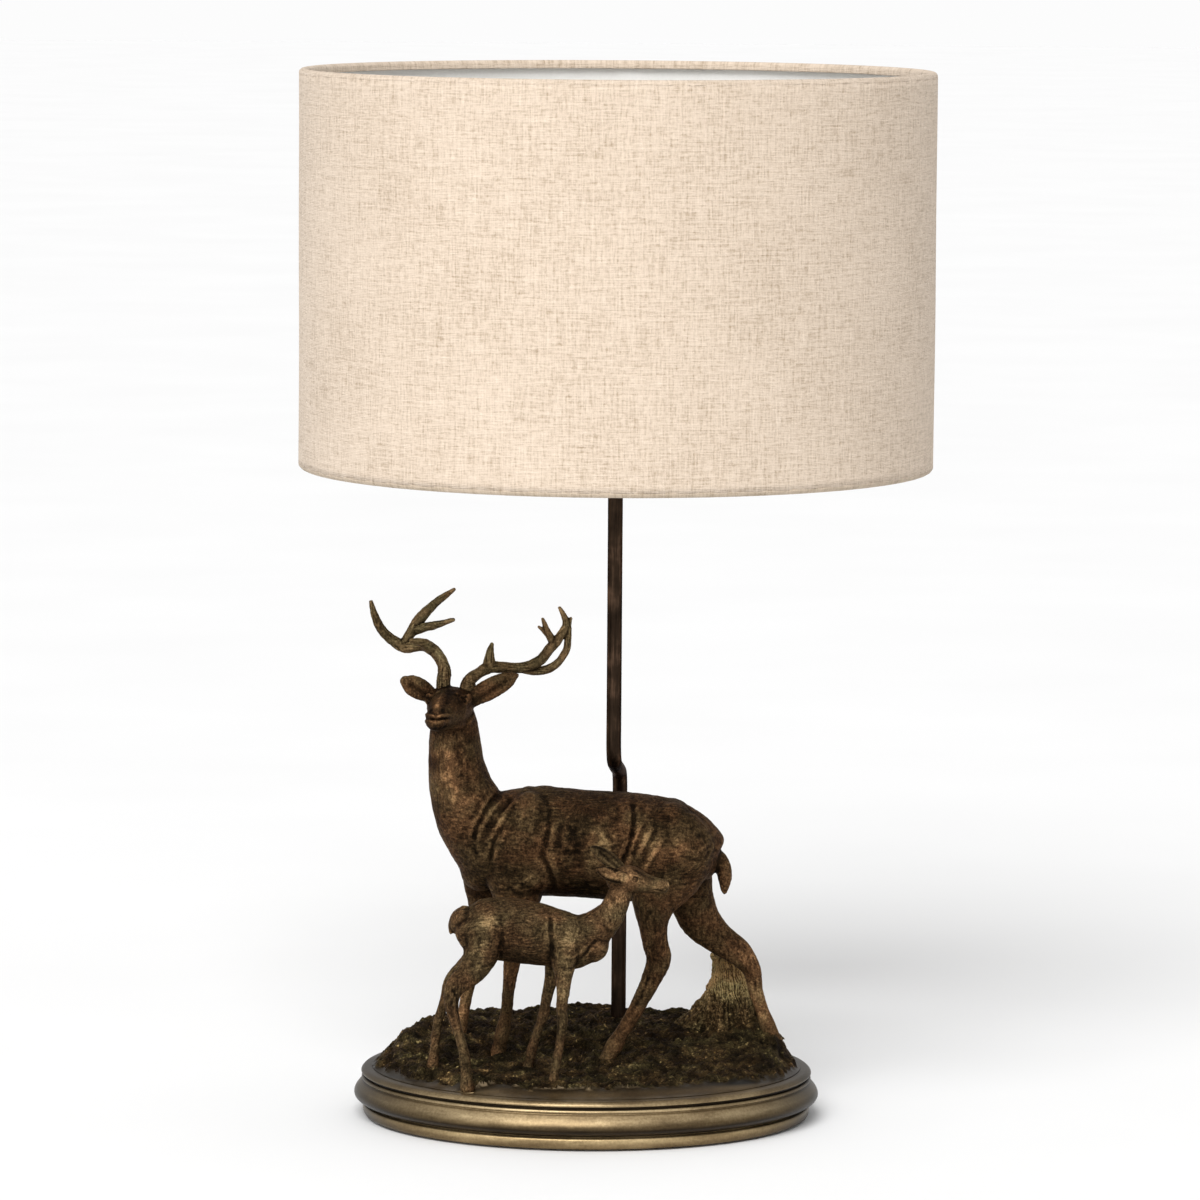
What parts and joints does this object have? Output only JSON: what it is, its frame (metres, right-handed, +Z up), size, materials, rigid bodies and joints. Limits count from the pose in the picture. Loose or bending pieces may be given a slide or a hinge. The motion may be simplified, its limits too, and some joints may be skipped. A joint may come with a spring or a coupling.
{
  "type": "table lamp",
  "caption": "Figural table lamp: a stag and a fawn stand on a moulded oval plinth, with a bent lamp tube behind them and a linen drum shade above.",
  "frame": {"origin": "where the axis of the shade meets the surface that the lamp stands on", "axes": "+X to the viewer's right seen from the front, -Y towards the front, +Z up along the shade's axis"},
  "size_m": [0.4, 0.4, 0.6597],
  "materials": {
    "linen": "woven linen with slubs, laminated to the lining",
    "lining": "off-white matt laminate",
    "bronze_resin": "cast resin, dark bronze wash with rubbed copper and gold highlights",
    "antique_gold": "cast resin, satin antique gold metallic paint, darker in the hollows",
    "dark_bronze": "satin dark bronze lacquer",
    "black_plastic": "moulded black thermoset",
    "white_plastic": "moulded white plastic",
    "zinc_steel": "bright zinc plate",
    "brass_metal": "stamped brass",
    "flex_cover": "black flex sheath",
    "bulb_glass": "frosted glass",
    "felt": "dark felt"
  },
  "bodies": {
    "base": {"plinth": "antique_gold", "cord_grommet": "black_plastic", "base_cover": "zinc_steel", "cover_screw_1": "zinc_steel", "cover_screw_2": "zinc_steel", "cover_screw_3": "zinc_steel", "felt_base": "felt", "groundwork": "bronze_resin", "tree_stump": "bronze_resin", "stag_body": "bronze_resin", "antler_left": "bronze_resin", "antler_right": "bronze_resin", "fawn_body": "bronze_resin", "lamp_tube": "dark_bronze", "inner_flex": "flex_cover", "terminal_block": "white_plastic", "tube_washer": "zinc_steel", "tube_nut": "zinc_steel", "lampholder_cap": "black_plastic", "holder_locknut": "zinc_steel", "lampholder_body": "black_plastic", "contact_block": "white_plastic", "centre_contact": "brass_metal"},
    "shade": {"shade_fabric": "linen", "shade_liner": "lining", "top_rim_wire": "zinc_steel", "shade_carrier": "zinc_steel"},
    "ring": {"shade_ring": "black_plastic"},
    "switch_bar": {"switch_push_bar": "white_plastic"},
    "bulb_lift": {"bulb_foot": "brass_metal"},
    "bulb": {"bulb_cap": "zinc_steel", "bulb_glass": "bulb_glass"}
  },
  "joints": [
    {"name": "shade_turn", "type": "hinge", "parent": "base", "child": "shade", "pos_m": [0, 0, 0.4636], "axis": [0, 0, 1], "continuous": true},
    {"name": "shade_ring_rise", "type": "slide", "parent": "base", "child": "ring", "axis": [0, 0, 1], "range_m": [0, 0.01]},
    {"name": "switch_push", "type": "slide", "parent": "base", "child": "switch_bar", "axis": [1, 0, 0], "range_m": [0, 0.004]},
    {"name": "bulb_rise", "type": "slide", "parent": "base", "child": "bulb_lift", "axis": [0, 0, 1], "range_m": [0, 0.0182]},
    {"name": "bulb_turn", "type": "hinge", "parent": "bulb_lift", "child": "bulb", "pos_m": [0, 0, 0.48], "axis": [0, 0, 1], "range_deg": [0, 1800]}
  ],
  "couplings": [
    {"joint": "bulb_rise", "follows": "bulb_turn", "m_per_rad": 0.00057614}
  ]
}
